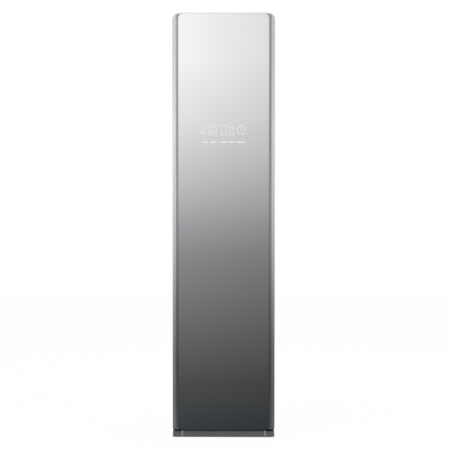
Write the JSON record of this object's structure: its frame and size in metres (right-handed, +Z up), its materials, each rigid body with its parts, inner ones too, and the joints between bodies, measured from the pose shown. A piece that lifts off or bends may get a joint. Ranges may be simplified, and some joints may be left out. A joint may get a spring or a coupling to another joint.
{
  "type": "clothes care steam cabinet",
  "caption": "Tall slim clothes steam cabinet with a mirror glass door, moving hanger bar, trouser press, shelf, water tanks and blower.",
  "frame": {"origin": "centre of the footprint on the floor", "axes": "+Z up, the door faces -Y, +X to the right seen from the front"},
  "size_m": [0.445, 0.585, 1.85],
  "materials": {
    "mirror_glass": "graduated mirror glass",
    "trim": "satin anodised",
    "dark_cover": "fine satin",
    "shell": "satin powder coat",
    "liner": "smooth satin",
    "sheet_zinc": "zinc coated sheet",
    "steel": "plain steel",
    "black_plastic": "fine grain",
    "grey_plastic": "fine grain",
    "seal_rubber": "matt",
    "tank": "translucent blue",
    "fin": "thin mill finish",
    "black_steel": "black enamel",
    "pad": "woven heat pad",
    "lens": "frosted"
  },
  "bodies": {
    "cabinet": {"base_frame": "sheet_zinc", "rear_left_foot": "black_plastic", "rear_right_foot": "black_plastic", "kick_cover": "dark_cover", "left_leg_cover": "dark_cover", "right_leg_cover": "dark_cover", "left_side_panel": "shell", "right_side_panel": "shell", "top_cover": "shell", "top_rail": "shell", "hinge_cover": "shell", "rear_panel": "sheet_zinc", "rear_service_cover": "sheet_zinc", "cord_gland": "black_plastic", "left_liner": "liner", "right_liner": "liner", "back_liner": "liner", "chamber_ceiling": "liner", "chamber_floor": "liner", "lamp_lens": "lens", "drive_housing": "grey_plastic", "drive_motor": "steel", "tank_bay": "grey_plastic", "blower_housing": "grey_plastic", "blower_motor": "steel", "evaporator": "fin", "condenser": "fin", "compressor": "black_steel", "steam_generator": "fin", "steam_nozzle": "liner", "outlet_grille": "liner", "feed_pump": "black_plastic", "control_box": "grey_plastic", "upper_hinge_bracket": "steel", "lower_hinge_bracket": "steel"},
    "door": {"mirror_glass": "mirror_glass", "left_trim": "trim", "right_trim": "trim", "door_top_cap": "trim", "door_bottom_cap": "trim", "door_core": "grey_plastic", "touch_module": "black_plastic", "upper_hinge_bush": "black_plastic", "lower_hinge_bush": "black_plastic", "door_liner": "liner", "door_gasket": "seal_rubber"},
    "trouser_press": {"press_panel": "liner", "press_pad": "pad"},
    "press_clip": {"clip_jaw": "grey_plastic"},
    "hanger_bar": {"hanger_bar": "trim"},
    "left_hanger": {"hanger_left": "grey_plastic"},
    "right_hanger": {"hanger_right": "grey_plastic"},
    "shelf": {"shelf": "liner"},
    "lint_filter": {"lint_filter": "grey_plastic"},
    "supply_tank": {"supply_tank": "tank"},
    "drain_tank": {"drain_tank": "tank"},
    "fan": {"fan_wheel": "black_plastic"},
    "left_foot": {"front_left_foot": "black_plastic"},
    "right_foot": {"front_right_foot": "black_plastic"}
  },
  "joints": [
    {"name": "door_hinge", "type": "hinge", "parent": "cabinet", "child": "door", "pos_m": [0.2085, -0.258, 0.031], "axis": [0, 0, 1], "range_deg": [0, 110]},
    {"name": "press_hinge", "type": "hinge", "parent": "door", "child": "trouser_press", "pos_m": [0.15, -0.197, 0.64], "axis": [0, 0, -1], "range_deg": [0, 90]},
    {"name": "clip_pivot", "type": "hinge", "parent": "trouser_press", "child": "press_clip", "pos_m": [-0.003, -0.186, 1.426], "axis": [1, 0, 0], "range_deg": [0, 30], "stiffness_Nm_per_rad": 0.06, "springref_deg": -20.05},
    {"name": "bar_slide", "type": "slide", "parent": "cabinet", "child": "hanger_bar", "axis": [1, 0, 0], "range_m": [-0.015, 0.015]},
    {"name": "left_hanger_swing", "type": "hinge", "parent": "hanger_bar", "child": "left_hanger", "pos_m": [-0.055, 0.02, 1.6902], "axis": [1, 0, 0], "range_deg": [-12, 12]},
    {"name": "right_hanger_swing", "type": "hinge", "parent": "hanger_bar", "child": "right_hanger", "pos_m": [0.055, 0.02, 1.6902], "axis": [1, 0, 0], "range_deg": [-12, 12]},
    {"name": "shelf_lift", "type": "slide", "parent": "cabinet", "child": "shelf", "axis": [0, 0, 1], "range_m": [0, 0.04]},
    {"name": "filter_lift", "type": "slide", "parent": "cabinet", "child": "lint_filter", "axis": [0, 0, 1], "range_m": [0, 0.08]},
    {"name": "supply_tank_slide", "type": "slide", "parent": "cabinet", "child": "supply_tank", "axis": [0, -1, 0], "range_m": [0, 0.04]},
    {"name": "drain_tank_slide", "type": "slide", "parent": "cabinet", "child": "drain_tank", "axis": [0, -1, 0], "range_m": [0, 0.04]},
    {"name": "fan_spin", "type": "hinge", "parent": "cabinet", "child": "fan", "pos_m": [0.058, 0.075, 0.275], "axis": [0, 1, 0], "continuous": true},
    {"name": "left_foot_screw", "type": "slide", "parent": "cabinet", "child": "left_foot", "axis": [0, 0, -1], "range_m": [0, 0.008]},
    {"name": "right_foot_screw", "type": "slide", "parent": "cabinet", "child": "right_foot", "axis": [0, 0, -1], "range_m": [0, 0.008]}
  ]
}
